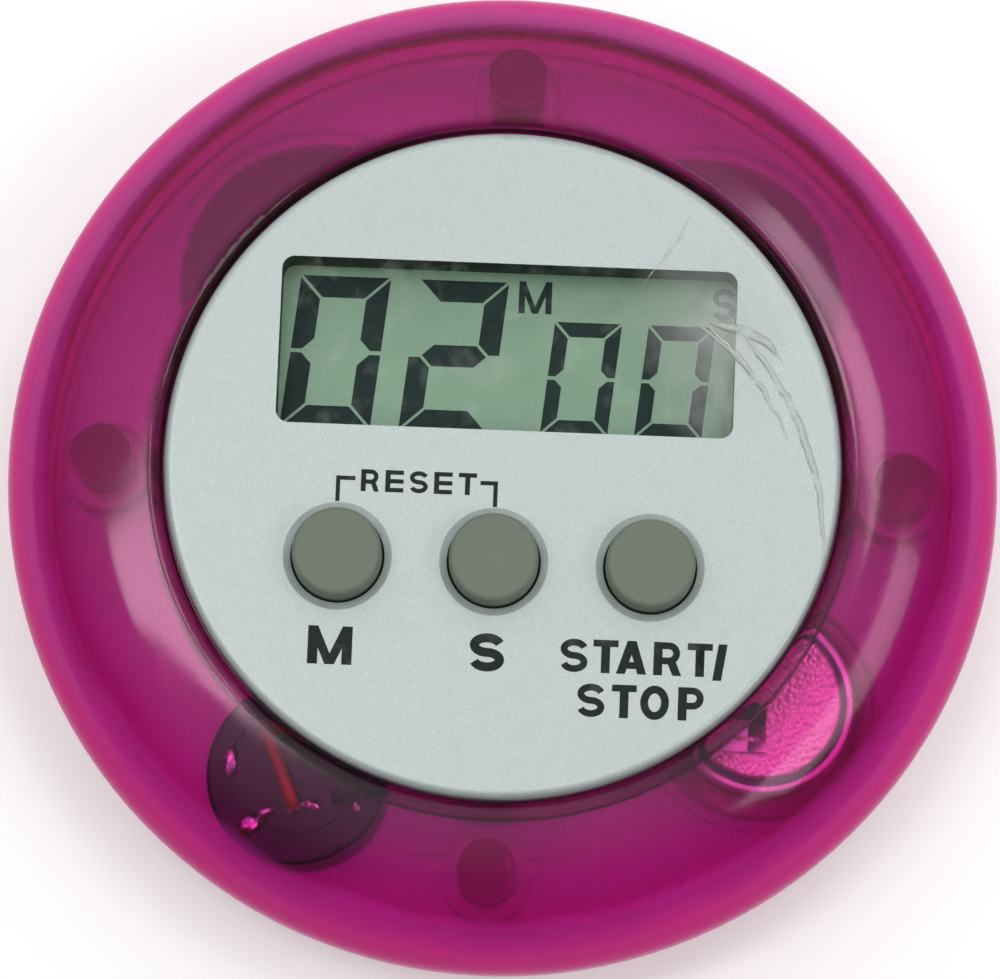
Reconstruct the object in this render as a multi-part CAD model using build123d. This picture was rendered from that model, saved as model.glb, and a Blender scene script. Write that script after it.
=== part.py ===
"""Round countdown timer: a see-through puck case around a silver face with a display and three keys.

Frame: +Z points out of the face, +Y towards the top of the display, and the origin is the centre of the
flat back. All sizes are in millimetres.
"""
from build123d import *
import os
from math import asin, atan2, cos, degrees, radians, sin

# ---------------------------------------------------------------- driving dimensions
case_radius = 31.0        # widest point of the case, at the parting line
parting_z = 6.5           # where the front bezel meets the rear cover
wall = 1.6                # thickness of both case shells
bezel_top_z = 13.0        # highest ring of the bezel, beside the face plate
plate_face_z = 13.2       # front surface of the face plate
plate_thickness = 1.6
plate_radius = 20.85
key_travel = 0.8
stand_open_angle = 50.0   # degrees, where the stand's heel meets the roof of its recess
door_turn_angle = 60.0    # degrees, from locked to the bayonet's entry notches

# ---------------------------------------------------------------- shell shapes
shoulder_radius = 4.2     # rounding of the bezel's outer edge
lip_radius = 0.9          # rounding of the bezel's inner edge
opening_radius = 21.0     # hole in the bezel that the face plate drops into
ledge_radius = 19.9       # inside of the ledge that the face plate rests on
ledge_bottom_z = 10.4
skirt_radius = 22.0       # outside of the wall that hangs around the opening
back_inset = 1.8          # how much narrower the flat back is than the parting line
back_edge_round = 0.8
tongue_inner_radius = 28.1
tongue_outer_radius = 29.1
tongue_bottom_z = 4.2
tongue_top_z = 7.3

# ---------------------------------------------------------------- locating posts
post_circle_radius = 24.8
post_radius = 1.8
post_foot_z = 2.6
post_head_z = 11.35      # inside the bezel's sloping roof, so the posts are one with it
socket_wall = 0.95
socket_clearance = 0.06
post_angles = (0, 90, 180, 270)

# ---------------------------------------------------------------- face
window_width = 28.2
window_height = 10.5
window_y = 7.25
window_corner = 0.8
film_radius = 20.2
film_thickness = 0.08

# ---------------------------------------------------------------- keys
key_names = ("minutes", "seconds", "start")
key_pitch = 9.6
key_y = -6.22
key_row_x = -0.3         # the row of keys sits a little left of the face's centre
key_cap_radius = 2.75
key_height = 1.9          # how far a key stands above the face
key_hole_radius = 2.9
key_dish_radius = 3.35    # each key's hole opens into a shallow dish
key_dish_depth = 0.14
key_flange_radius = 3.4
key_flange_thickness = 0.8
key_stem_radius = 1.4

# ---------------------------------------------------------------- circuit board and display
board_radius = 19.5
board_bottom_z = 6.4
board_top_z = 7.4
glass_width = 28.8
glass_thickness = 0.7
glass_bottom_y = -0.8
glass_top_y = 12.95
contact_ledge = 2.5       # strip of front glass that overhangs the rear glass
polarizer_width = 28.6
polarizer_bottom_y = 1.5
polarizer_top_y = 12.85
polarizer_thickness = 0.15
frame_wall = 0.8
frame_corner = 2.2
frame_lip = 1.2           # depth of the frame's black lip, between the face plate and the display
boss_radius = 1.5
boss_pilot_radius = 0.78
boss_places = ((0.0, 16.2), (-17.3, -2.6), (17.3, -2.6), (0.0, -15.0))

# ---------------------------------------------------------------- rubber keypad
web_thickness = 0.7
web_pad_radius = 3.2
web_bar_width = 3.4
dome_base_radius = 2.4
dome_top_radius = 1.5
dome_top_z = 9.7
dome_skin = 0.5
pill_radius = 1.0
pill_thickness = 0.48

# ---------------------------------------------------------------- magnets
magnet_radius = 9.0
magnet_thickness = 3.0
magnet_places = {"left": (-12.0, 12.9), "right": (12.0, 12.9)}
pocket_clearance = 0.1
pocket_skin = 0.9

# ---------------------------------------------------------------- button cell and its door
cell_radius = 5.8
cell_height = 5.4
cell_circle_radius = 21.3
cell_angle = -39.0
cell_bottom_z = 2.45
cell_cap_radius = 4.9
cell_cap_height = 0.65
cell_gasket_radius = 5.25
well_bore_radius = 6.05
well_outer_radius = 7.0
well_top_z = 6.2
door_radius = 6.75
door_gap = 0.1
door_face_z = 0.15
door_seat_z = 1.25
door_boss_radius = 5.85
throat_radius = 6.0
throat_top_z = 1.7
groove_top_z = 2.4
groove_wall = 0.75
lug_half_angle = 20.0
notch_half_angle = 23.0
contact_thickness = 0.25
contact_width = 3.2
contact_offset = -1.7     # the leaf spring crosses the cell a little below its middle

# ---------------------------------------------------------------- buzzer
buzzer_radius = 5.6
buzzer_top_z = 8.0
buzzer_circle_radius = 22.4
buzzer_angle = 238.0
buzzer_wall = 0.8
sound_hole_radius = 0.5
sound_hole_ring = 2.4

# ---------------------------------------------------------------- stand
stand_half_width = 3.5
stand_gap = 0.3
stand_low_z = 0.3
stand_high_z = 2.1
stand_tip_y = -21.2
hinge_y = 0.5
hinge_z = 1.45
knuckle_radius = 1.2
heel_length = 1.33
trunnion_radius = 0.9
trunnion_end_x = 5.2
recess_roof_z = 2.9
recess_skin = 0.8
recess_end_y = 2.4

wire_radius = 0.38

plate_seat_z = plate_face_z - plate_thickness
front_polarizer_top_z = plate_seat_z - frame_lip - 0.05
front_glass_top_z = front_polarizer_top_z - polarizer_thickness - 0.06
rear_glass_top_z = front_glass_top_z - glass_thickness
reflector_top_z = rear_glass_top_z - glass_thickness
cell_top_z = cell_bottom_z + cell_height
SIDES = (-1, 1)
UP = (Align.CENTER, Align.CENTER, Align.MIN)


def around(radius, angle):
    """The point at a polar angle on a circle about the case's axis."""
    return radius * cos(radians(angle)), radius * sin(radians(angle))


cell_place = around(cell_circle_radius, cell_angle)
buzzer_place = around(buzzer_circle_radius, buzzer_angle)
key_places = {name: (key_row_x + key_pitch * step, key_y) for name, step in zip(key_names, (-1, 0, 1))}


# ---------------------------------------------------------------- small helpers
def disc(radius, low, high, at=(0, 0)):
    return Pos(at[0], at[1], low) * Cylinder(radius, high - low, align=UP)


def ring(outer, inner, low, high, at=(0, 0)):
    return disc(outer, low, high, at) - disc(inner, low, high, at)


def slab(x_span, y_span, z_span):
    """A box from three (low, high) spans."""
    lows, highs = zip(x_span, y_span, z_span)
    size = [high - low for low, high in zip(lows, highs)]
    return Pos(*lows) * Box(*size, align=(Align.MIN, Align.MIN, Align.MIN))


def plate_outline(width, height, corner, low, high, at):
    """A flat plate with rounded corners."""
    outline = Pos(at[0], at[1], low) * RectangleRounded(width, height, corner)
    return extrude(outline, amount=high - low)


def turned(*outline, at=(0, 0)):
    """A solid of revolution from an (r, z) outline of straight lines."""
    face = make_face(Plane.XZ * Polyline(*outline, close=True))
    return Pos(at[0], at[1], 0) * revolve(face, Axis.Z)


def sector(outer, inner, low, high, middle, half_angle, at):
    """Part of a ring, centred on an angle."""
    outline = ((inner, low), (outer, low), (outer, high), (inner, high))
    face = make_face(Plane.XZ * Polyline(*outline, close=True))
    swept = revolve(face, Axis.Z, revolution_arc=2 * half_angle)
    return Pos(at[0], at[1], 0) * Rot(0, 0, middle - half_angle) * swept


def top_edges(part, z):
    """The edges that lie flat at height z."""
    return part.edges().filter_by_position(Axis.Z, z - 1e-4, z + 1e-4)


def wire(*route, bend=1.4):
    """A round insulated wire along straight runs joined by arcs."""
    path = FilletPolyline(*route, radius=bend)
    section = Plane(origin=path @ 0, z_dir=path % 0) * Circle(wire_radius)
    return sweep(section, path=path)


# ---------------------------------------------------------------- case shells
def bezel_curve(inset):
    """The bezel's shoulder and crown, from the parting line to the highest ring, moved inwards by inset.

    The two arcs are tangent to each other, upright at the parting line and level at the top.
    """
    rise = bezel_top_z - parting_z - shoulder_radius
    run = case_radius - shoulder_radius - opening_radius - lip_radius
    shoulder_sweep = 90 - 2 * degrees(atan2(rise, run))
    crown_radius = shoulder_radius + run / cos(radians(shoulder_sweep))
    shoulder = JernArc((case_radius - inset, parting_z), (0, 1), shoulder_radius - inset, shoulder_sweep)
    crown = JernArc(shoulder @ 1, shoulder % 1, crown_radius - inset, 90 - shoulder_sweep)
    return shoulder, crown


def make_front_bezel():
    outer_shoulder, outer_crown = bezel_curve(0)
    inner_shoulder, inner_crown = bezel_curve(wall)
    lip = JernArc(outer_crown @ 1, outer_crown % 1, lip_radius, 90)
    roof_end = inner_crown @ 1
    hanging_wall = Polyline(
        lip @ 1,
        (opening_radius, plate_seat_z),
        (ledge_radius, plate_seat_z),
        (ledge_radius, ledge_bottom_z),
        (skirt_radius, ledge_bottom_z),
        (skirt_radius, roof_end.Y - wall / 4),
        roof_end,
    )
    foot = Line(inner_shoulder @ 0, outer_shoulder @ 0)
    outline = [outer_shoulder, outer_crown, lip, hanging_wall, inner_crown, inner_shoulder, foot]
    shell = revolve(Plane.XZ * make_face(outline), Axis.Z)
    for angle in post_angles:
        shell += disc(post_radius, post_foot_z, post_head_z, around(post_circle_radius, angle))
    return shell


def cover_curve(inset, foot_z):
    """The rear cover's side, from the parting line down to foot_z, moved inwards by inset."""
    radius = (back_inset**2 + parting_z**2) / (2 * back_inset)
    drop = degrees(asin((parting_z - foot_z) / (radius - inset)))
    return JernArc((case_radius - inset, parting_z), (0, -1), radius - inset, -drop)


def make_cover_shell():
    outside, inside = cover_curve(0, 0), cover_curve(wall, wall)
    bottom = Polyline(outside @ 1, (0, 0), (0, wall), inside @ 1)
    rim = Line(inside @ 0, outside @ 0)
    shell = revolve(Plane.XZ * make_face([outside, bottom, inside, rim]), Axis.Z)
    shell = fillet(top_edges(shell, 0), back_edge_round)
    shell += ring(tongue_outer_radius, tongue_inner_radius, tongue_bottom_z, tongue_top_z)
    fill_radius = (cover_curve(wall, 0) @ 0).X + wall / 4
    shell += ring(fill_radius, tongue_inner_radius, tongue_bottom_z, parting_z)
    for angle in post_angles:
        shell += disc(post_radius + socket_wall, wall / 2, parting_z, around(post_circle_radius, angle))
    return shell


def make_rear_cover():
    cover = make_cover_shell()
    # Material that the pockets, recesses and the cell's well are then cut from.
    for place in magnet_places.values():
        cover += disc(magnet_radius + pocket_skin, wall / 2, magnet_thickness + pocket_skin, place)
    cover += disc(well_outer_radius, wall / 2, well_top_z, cell_place)
    cover += disc(door_radius + door_gap + groove_wall, wall / 2, groove_top_z + groove_wall, cell_place)
    recess_half = stand_half_width + stand_gap
    recess_low_y = stand_tip_y - 1.0
    box_half, roof_top_z = recess_half + 1.0, recess_roof_z + recess_skin
    cover += slab((-box_half, box_half), (recess_low_y - 1.0, recess_end_y + 1.0), (wall / 2, roof_top_z))
    hinge_half = trunnion_end_x + 0.8
    cover += slab((-hinge_half, hinge_half), (hinge_y - 2.0, hinge_y + 2.5), (wall / 2, roof_top_z))
    scoop_place, scoop_radius, scoop_depth = (recess_half, stand_tip_y + 3.7), 3.2, 1.5
    cover += disc(scoop_radius + 0.8, wall / 2, scoop_depth + recess_skin, scoop_place)
    # Pockets for the magnets, and the blind sockets for the bezel's posts.
    for place in magnet_places.values():
        cover -= disc(magnet_radius + pocket_clearance, 0, magnet_thickness + 0.05, place)
    for angle in post_angles:
        socket = around(post_circle_radius, angle)
        cover -= disc(post_radius + socket_clearance, post_foot_z - 0.2, tongue_top_z, socket)
    # The well: door seat, bayonet throat, groove and bore, then the two notches that let the lugs in.
    cover -= disc(door_radius + door_gap, 0, door_seat_z, cell_place)
    cover -= disc(throat_radius, door_seat_z, throat_top_z, cell_place)
    cover -= disc(door_radius + door_gap, throat_top_z, groove_top_z, cell_place)
    cover -= disc(well_bore_radius, groove_top_z, well_top_z, cell_place)
    notch = (door_radius + door_gap, throat_radius - 0.1, door_seat_z, throat_top_z)
    for side in (0, 180):
        entry = side + cell_angle - door_turn_angle
        cover -= sector(*notch, entry, notch_half_angle, cell_place)
    # The stand's recess, its hinge holes and the scoop for a fingertip.
    cover -= slab((-recess_half, recess_half), (recess_low_y, recess_end_y), (0, recess_roof_z))
    hinge_bore = Cylinder(trunnion_radius + 0.05, 2 * trunnion_end_x + 0.2)
    cover -= Pos(0, hinge_y, hinge_z) * Rot(0, 90, 0) * hinge_bore
    cover -= disc(scoop_radius, 0, scoop_depth, scoop_place)
    # Sound holes under the buzzer.
    holes = [(0, 0)] + [around(sound_hole_ring, angle) for angle in range(0, 360, 60)]
    for x, y in holes:
        cover -= disc(sound_hole_radius, 0, wall, (buzzer_place[0] + x, buzzer_place[1] + y))
    return cover


# ---------------------------------------------------------------- face
def make_face_plate():
    plate = disc(plate_radius, plate_seat_z, plate_face_z)
    plate = fillet(top_edges(plate, plate_face_z), 0.5)
    window = (window_width, window_height, window_corner)
    plate -= plate_outline(*window, plate_seat_z, plate_face_z, (0, window_y))
    for place in key_places.values():
        plate -= disc(key_hole_radius, plate_seat_z, plate_face_z, place)
        dish_z = plate_face_z - key_dish_depth
        dish_outline = (
            (0, dish_z), (key_hole_radius, dish_z), (key_dish_radius, plate_face_z), (0, plate_face_z)
        )
        plate -= turned(*dish_outline, at=place)
    for place in boss_places:
        plate += disc(boss_radius, board_top_z, plate_seat_z, place)
    for place in boss_places:
        plate -= disc(boss_pilot_radius, board_top_z, plate_seat_z - 0.4, place)
    return plate


def make_face_film():
    film_top_z = plate_face_z + film_thickness
    film = disc(film_radius, plate_face_z, film_top_z)
    for place in key_places.values():
        film -= disc(key_dish_radius + 0.2, plate_face_z, film_top_z, place)
    return film


def make_key(place):
    top_z = plate_face_z + key_height
    flange_top_z = plate_seat_z - 0.1
    flange_bottom_z = flange_top_z - key_flange_thickness
    cap = disc(key_cap_radius, flange_bottom_z, top_z, place)
    cap = fillet(top_edges(cap, top_z), 0.35)
    flange = disc(key_flange_radius, flange_bottom_z, flange_top_z, place)
    stem = disc(key_stem_radius, dome_top_z, flange_bottom_z, place)
    return cap + flange + stem


# ---------------------------------------------------------------- display
def glass_sheet(y_span, top_z, width, thickness):
    return slab((-width / 2, width / 2), y_span, (top_z - thickness, top_z))


def make_lcd_frame():
    """A black wall around the glass, with a lip under the face plate and a shelf for the rear glass."""
    gap = 0.1
    half = glass_width / 2 + gap
    y_span = (glass_bottom_y - gap, glass_top_y + gap)
    middle = (0, sum(y_span) / 2)
    outer_size = (2 * (half + frame_wall), y_span[1] - y_span[0] + 2 * frame_wall)
    frame = plate_outline(*outer_size, frame_corner, board_top_z, plate_seat_z, middle)
    frame -= slab((-half, half), y_span, (board_top_z, plate_seat_z - frame_lip))
    window = (window_width, window_height, window_corner)
    frame -= plate_outline(*window, board_top_z, plate_seat_z, (0, window_y))
    shelf_top_z = reflector_top_z - polarizer_thickness - 0.05
    shelf_y = (glass_bottom_y + contact_ledge, y_span[1])
    shelf = slab((-half, half), shelf_y, (board_top_z, shelf_top_z))
    opening_y = (shelf_y[0] + 0.8, shelf_y[1] - 1.2)
    shelf -= slab((1.2 - half, half - 1.2), opening_y, (board_top_z, shelf_top_z))
    return frame + shelf


# ---------------------------------------------------------------- circuit board
def make_board():
    board = disc(board_radius, board_bottom_z, board_top_z)
    board -= disc(cell_radius + 0.5, board_bottom_z, board_top_z, cell_place)
    board -= disc(buzzer_radius + 0.5, board_bottom_z, board_top_z, buzzer_place)
    for place in boss_places:
        board -= disc(0.9, board_bottom_z, board_top_z, place)
    return board


def make_board_screw(place):
    """A small pan-head screw with a cross recess, driven in from behind."""
    head_radius, head_height, shank_length = 1.4, 0.9, 4.2
    head_bottom_z = board_bottom_z - head_height
    head = fillet(top_edges(disc(head_radius, head_bottom_z, board_bottom_z), head_bottom_z), 0.4)
    shank = disc(0.75, board_bottom_z, board_bottom_z + shank_length)
    tip = Pos(0, 0, board_bottom_z + shank_length) * Cone(0.75, 0.3, 0.5, align=UP)
    arm = slab((-0.8, 0.8), (-0.15, 0.15), (head_bottom_z, head_bottom_z + 0.5))
    screw = head + shank + tip - arm - Rot(0, 0, 90) * arm
    return Pos(place[0], place[1], 0) * screw


def make_chip_blob():
    """The black drop of resin over the bare chip, on the back of the board."""
    base_radius, height, place = 4.5, 1.4, (2.5, -1.5)
    sphere_radius = (base_radius**2 + height**2) / (2 * height)
    ball = Pos(*place, board_bottom_z - height + sphere_radius) * Sphere(sphere_radius)
    return ball & slab((-3, 8), (-7, 4), (board_bottom_z - height, board_bottom_z))


def small_parts(places, length, width, height):
    """Chip parts on the back of the board, each a separate solid."""
    z_span = (board_bottom_z - height, board_bottom_z)
    return Compound([slab((x, x + length), (y, y + width), z_span) for x, y in places])


# ---------------------------------------------------------------- rubber keypad
def make_keypad_web():
    left, _, right = key_places.values()
    web = Part()
    for place in key_places.values():
        web += disc(web_pad_radius, board_top_z, board_top_z + web_thickness, place)
    bar = (key_y - web_bar_width / 2, key_y + web_bar_width / 2)
    web += slab((left[0], right[0]), bar, (board_top_z, board_top_z + web_thickness))
    for place in key_places.values():
        web -= disc(dome_base_radius, board_top_z, board_top_z + web_thickness, place)
    return web


def make_dome(place):
    """A hollow rubber cone that carries the contact pill under its top."""
    web_z, roof_z = board_top_z + web_thickness, dome_top_z - 1.0
    outline = (
        (0, dome_top_z),
        (dome_top_radius, dome_top_z),
        (dome_base_radius, web_z),
        (dome_base_radius, board_top_z),
        (dome_base_radius - dome_skin, board_top_z),
        (dome_base_radius - dome_skin, web_z),
        (dome_top_radius - 0.2, roof_z),
        (0, roof_z),
    )
    return turned(*outline, at=place)


def make_pill(place):
    roof_z = dome_top_z - 1.0
    return disc(pill_radius, roof_z - pill_thickness, roof_z, place)


# ---------------------------------------------------------------- button cell, door and contacts
def make_door():
    face_top_z = door_seat_z - 0.05
    door = disc(door_radius, door_face_z, face_top_z, cell_place)
    door = fillet(top_edges(door, door_face_z), 0.3)
    door += disc(door_boss_radius, face_top_z, groove_top_z, cell_place)
    for side in (0, 180):
        lug = (throat_top_z + 0.05, groove_top_z - 0.05, side + cell_angle, lug_half_angle, cell_place)
        door += sector(door_radius - 0.05, door_boss_radius - 0.2, *lug)
    slot = Rot(0, 0, cell_angle) * slab((-4.6, 4.6), (-0.8, 0.8), (door_face_z, door_face_z + 0.65))
    return door - Pos(*cell_place, 0) * slot


def make_cell():
    """The cell's can, its smaller cap and the gasket ring between them."""
    shoulder_z = cell_top_z - cell_cap_height
    can = disc(cell_radius, cell_bottom_z, shoulder_z, cell_place)
    can = fillet(top_edges(can, cell_bottom_z), 0.4)
    can = fillet(top_edges(can, shoulder_z), 0.3)
    cap = fillet(top_edges(disc(cell_cap_radius, shoulder_z, cell_top_z, cell_place), cell_top_z), 0.25)
    gasket = ring(cell_gasket_radius, cell_cap_radius, shoulder_z, shoulder_z + 0.25, cell_place)
    return can, cap, gasket


def make_negative_contact():
    """A leaf spring: soldered flat on the board, raised over the cell and dipped where it meets the cap."""
    over_cap = cell_top_z + 0.3
    spine = (
        (-8.9, board_top_z),
        (-6.9, board_top_z),
        (-5.6, over_cap),
        (-3.2, over_cap),
        (-0.8, cell_top_z),
        (0.3, over_cap),
    )
    top = [(x, z + contact_thickness) for x, z in reversed(spine)]
    side = make_face(Plane.XZ * Polyline(*spine, *top, close=True))
    leaf = extrude(side, amount=contact_width / 2, both=True)
    for slot_y in (-0.8, 0.8):
        leaf -= slab((-5.0, -0.1), (slot_y - 0.15, slot_y + 0.15), (board_top_z, over_cap + 1.0))
    return Pos(cell_place[0], cell_place[1] + contact_offset, 0) * leaf


def make_positive_contact():
    """A curved strip between the cell and its well, folded over the board's edge as a solder tab."""
    toward = 102.0
    thickness = 0.2
    inner = cell_radius + 0.02
    top_z = board_top_z + thickness
    strip = sector(inner + thickness, inner, groove_top_z + 0.2, top_z, toward, 22, cell_place)
    tab = sector(cell_radius + 2.2, inner, board_top_z, top_z, toward, 13, cell_place)
    return strip + tab


# ---------------------------------------------------------------- buzzer
def make_buzzer():
    """A black cup with a sound hole, a brass diaphragm with a ceramic disc, and the cap that closes it."""
    bore = buzzer_radius - buzzer_wall
    seat_z = wall + 1.9
    cap_z = buzzer_top_z - buzzer_wall
    case = disc(buzzer_radius, wall, cap_z, buzzer_place)
    case -= disc(bore, seat_z, cap_z, buzzer_place)
    case -= disc(bore - 0.7, wall + buzzer_wall, seat_z, buzzer_place)
    case -= disc(1.2, wall, seat_z, buzzer_place)
    diaphragm = disc(bore - 0.1, seat_z, seat_z + 0.2, buzzer_place)
    ceramic = disc(3.3, seat_z + 0.2, seat_z + 0.4, buzzer_place)
    cap = disc(buzzer_radius, cap_z, buzzer_top_z, buzzer_place)
    cap = fillet(top_edges(cap, buzzer_top_z), 0.25)
    cap -= ring(4.3, 3.7, buzzer_top_z - 0.25, buzzer_top_z, buzzer_place)
    return case, diaphragm, ceramic, cap


# ---------------------------------------------------------------- stand
def make_stand():
    """A flat leg with two trunnions. Its heel, past the hinge, meets the recess roof when it is open."""
    length_span = (stand_tip_y, hinge_y + heel_length)
    leg = slab((-stand_half_width, stand_half_width), length_span, (stand_low_z, stand_high_z))
    tip_edges = leg.edges().filter_by(Axis.Z).group_by(Axis.Y)[0]
    leg = fillet(tip_edges, 2.4)
    leg = fillet(top_edges(leg, stand_low_z), 0.35)
    along_x = Pos(0, hinge_y, hinge_z) * Rot(0, 90, 0)
    leg += along_x * Cylinder(knuckle_radius, 2 * stand_half_width)
    leg += along_x * Cylinder(trunnion_radius, 2 * trunnion_end_x)
    for step in range(3):
        groove_y = stand_tip_y + 2.2 + 1.5 * step
        leg -= Pos(0, groove_y, stand_low_z) * Rot(0, 90, 0) * Cylinder(0.3, 2 * stand_half_width - 2.0)
    return leg


# ---------------------------------------------------------------- the whole assembly
def build():
    nodes = {
        "front_bezel": make_front_bezel(),
        "rear_cover": make_rear_cover(),
        "face_plate": make_face_plate(),
        "face_film": make_face_film(),
        "lcd_frame": make_lcd_frame(),
        "circuit_board": make_board(),
        "board_screws": Compound([make_board_screw(place) for place in boss_places]),
        "chip_blob": make_chip_blob(),
        "keypad_web": make_keypad_web(),
        "battery_door": make_door(),
        "negative_contact": make_negative_contact(),
        "positive_contact": make_positive_contact(),
        "stand": make_stand(),
    }
    polarizer_y = (polarizer_bottom_y, polarizer_top_y)
    rear_glass_y = (glass_bottom_y + contact_ledge, glass_top_y)
    front_glass_y = (glass_bottom_y, glass_top_y)
    nodes["front_polarizer"] = glass_sheet(
        polarizer_y, front_polarizer_top_z, polarizer_width, polarizer_thickness
    )
    nodes["front_glass"] = glass_sheet(front_glass_y, front_glass_top_z, glass_width, glass_thickness)
    nodes["rear_glass"] = glass_sheet(rear_glass_y, rear_glass_top_z, glass_width, glass_thickness)
    nodes["rear_reflector"] = glass_sheet(
        polarizer_y, reflector_top_z, polarizer_width, polarizer_thickness
    )
    strip_y = (glass_bottom_y + 0.3, glass_bottom_y + contact_ledge - 0.4)
    nodes["zebra_strip"] = slab((-13.6, 13.6), strip_y, (board_top_z, rear_glass_top_z))
    crystal = Pos(-7.5, 7.0, board_bottom_z - 1.0) * Rot(0, 90, 0) * Cylinder(1.0, 6.0)
    nodes["quartz_crystal"] = crystal
    nodes["chip_capacitors"] = small_parts(((-6.5, -9.5), (-6.5, -12.0), (7.0, 4.5)), 2.0, 1.25, 0.9)
    nodes["chip_resistors"] = small_parts(((-11.0, -2.5), (-11.0, 0.0), (5.5, -10.5)), 1.6, 0.8, 0.5)
    for name, place in key_places.items():
        nodes[f"key_{name}"] = make_key(place)
        nodes[f"dome_{name}"] = make_dome(place)
        nodes[f"pill_{name}"] = make_pill(place)
    for side, place in magnet_places.items():
        magnet = disc(magnet_radius, 0, magnet_thickness, place)
        rims = top_edges(magnet, 0) + top_edges(magnet, magnet_thickness)
        nodes[f"magnet_{side}"] = chamfer(rims, 0.3)
    nodes["cell_can"], nodes["cell_cap"], nodes["cell_gasket"] = make_cell()
    buzzer_case, buzzer_diaphragm, buzzer_ceramic, buzzer_cap = make_buzzer()
    nodes["buzzer_case"], nodes["buzzer_diaphragm"] = buzzer_case, buzzer_diaphragm
    nodes["buzzer_ceramic"], nodes["buzzer_cap"] = buzzer_ceramic, buzzer_cap
    nodes.update(make_wires())
    return nodes


def make_wires():
    """The buzzer's two insulated wires, each soldered to the buzzer's cap and to the board."""
    over_board = board_top_z + 1.6
    return {
        "buzzer_wire_red": wire(
            (-12.0, -21.1, buzzer_top_z),
            (-12.0, -21.1, buzzer_top_z + 1.1),
            (-14.7, -14.7, buzzer_top_z + 1.3),
            (-14.2, -10.6, over_board),
            (-14.2, -10.6, board_top_z),
            bend=0.6,
        ),
        "buzzer_wire_black": wire(
            (-9.4, -20.6, buzzer_top_z),
            (-9.4, -20.6, buzzer_top_z + 1.1),
            (-6.8, -17.6, buzzer_top_z + 1.3),
            (-5.0, -14.6, over_board),
            (-5.0, -14.6, board_top_z),
            bend=0.6,
        ),
    }


os.makedirs("parts", exist_ok=True)
for node_name, node_shape in build().items():
    export_step(node_shape, f"parts/{node_name}.step")
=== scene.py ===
"""Looks for the round countdown timer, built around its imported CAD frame.

Lengths are in metres, unless a comment says that they are in mm.
"""
import math
import random

import bmesh
import bpy
from mathutils import Matrix, Vector, noise


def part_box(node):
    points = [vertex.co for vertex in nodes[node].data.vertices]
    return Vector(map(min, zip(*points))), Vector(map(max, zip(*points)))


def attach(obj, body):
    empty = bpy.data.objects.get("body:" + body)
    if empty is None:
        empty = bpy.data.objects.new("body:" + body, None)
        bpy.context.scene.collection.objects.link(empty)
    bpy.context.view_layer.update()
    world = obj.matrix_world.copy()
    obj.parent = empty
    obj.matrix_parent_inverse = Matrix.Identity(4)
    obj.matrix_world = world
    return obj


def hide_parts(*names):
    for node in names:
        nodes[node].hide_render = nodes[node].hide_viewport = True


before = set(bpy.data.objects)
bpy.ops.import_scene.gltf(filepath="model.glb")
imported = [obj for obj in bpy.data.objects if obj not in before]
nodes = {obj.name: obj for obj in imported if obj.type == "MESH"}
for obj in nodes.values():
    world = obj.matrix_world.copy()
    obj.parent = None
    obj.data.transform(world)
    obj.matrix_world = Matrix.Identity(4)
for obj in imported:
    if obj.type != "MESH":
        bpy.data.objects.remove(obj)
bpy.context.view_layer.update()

MM = 0.001
CASE = "case"
NOISE_LOW, NOISE_HIGH = 0.3, 0.7

# ---------------------------------------------------------------- places worked out from the frame
face_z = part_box("face_film")[0].z
plate_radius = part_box("face_plate")[1].x
case_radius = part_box("front_bezel")[1].x
display_low, display_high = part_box("front_polarizer")
key_names = ("minutes", "seconds", "start")


def middle(node):
    """The centre of a node's box."""
    low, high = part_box(node)
    return (low + high) / 2


key_places = {name: middle(f"key_{name}") for name in key_names}


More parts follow.
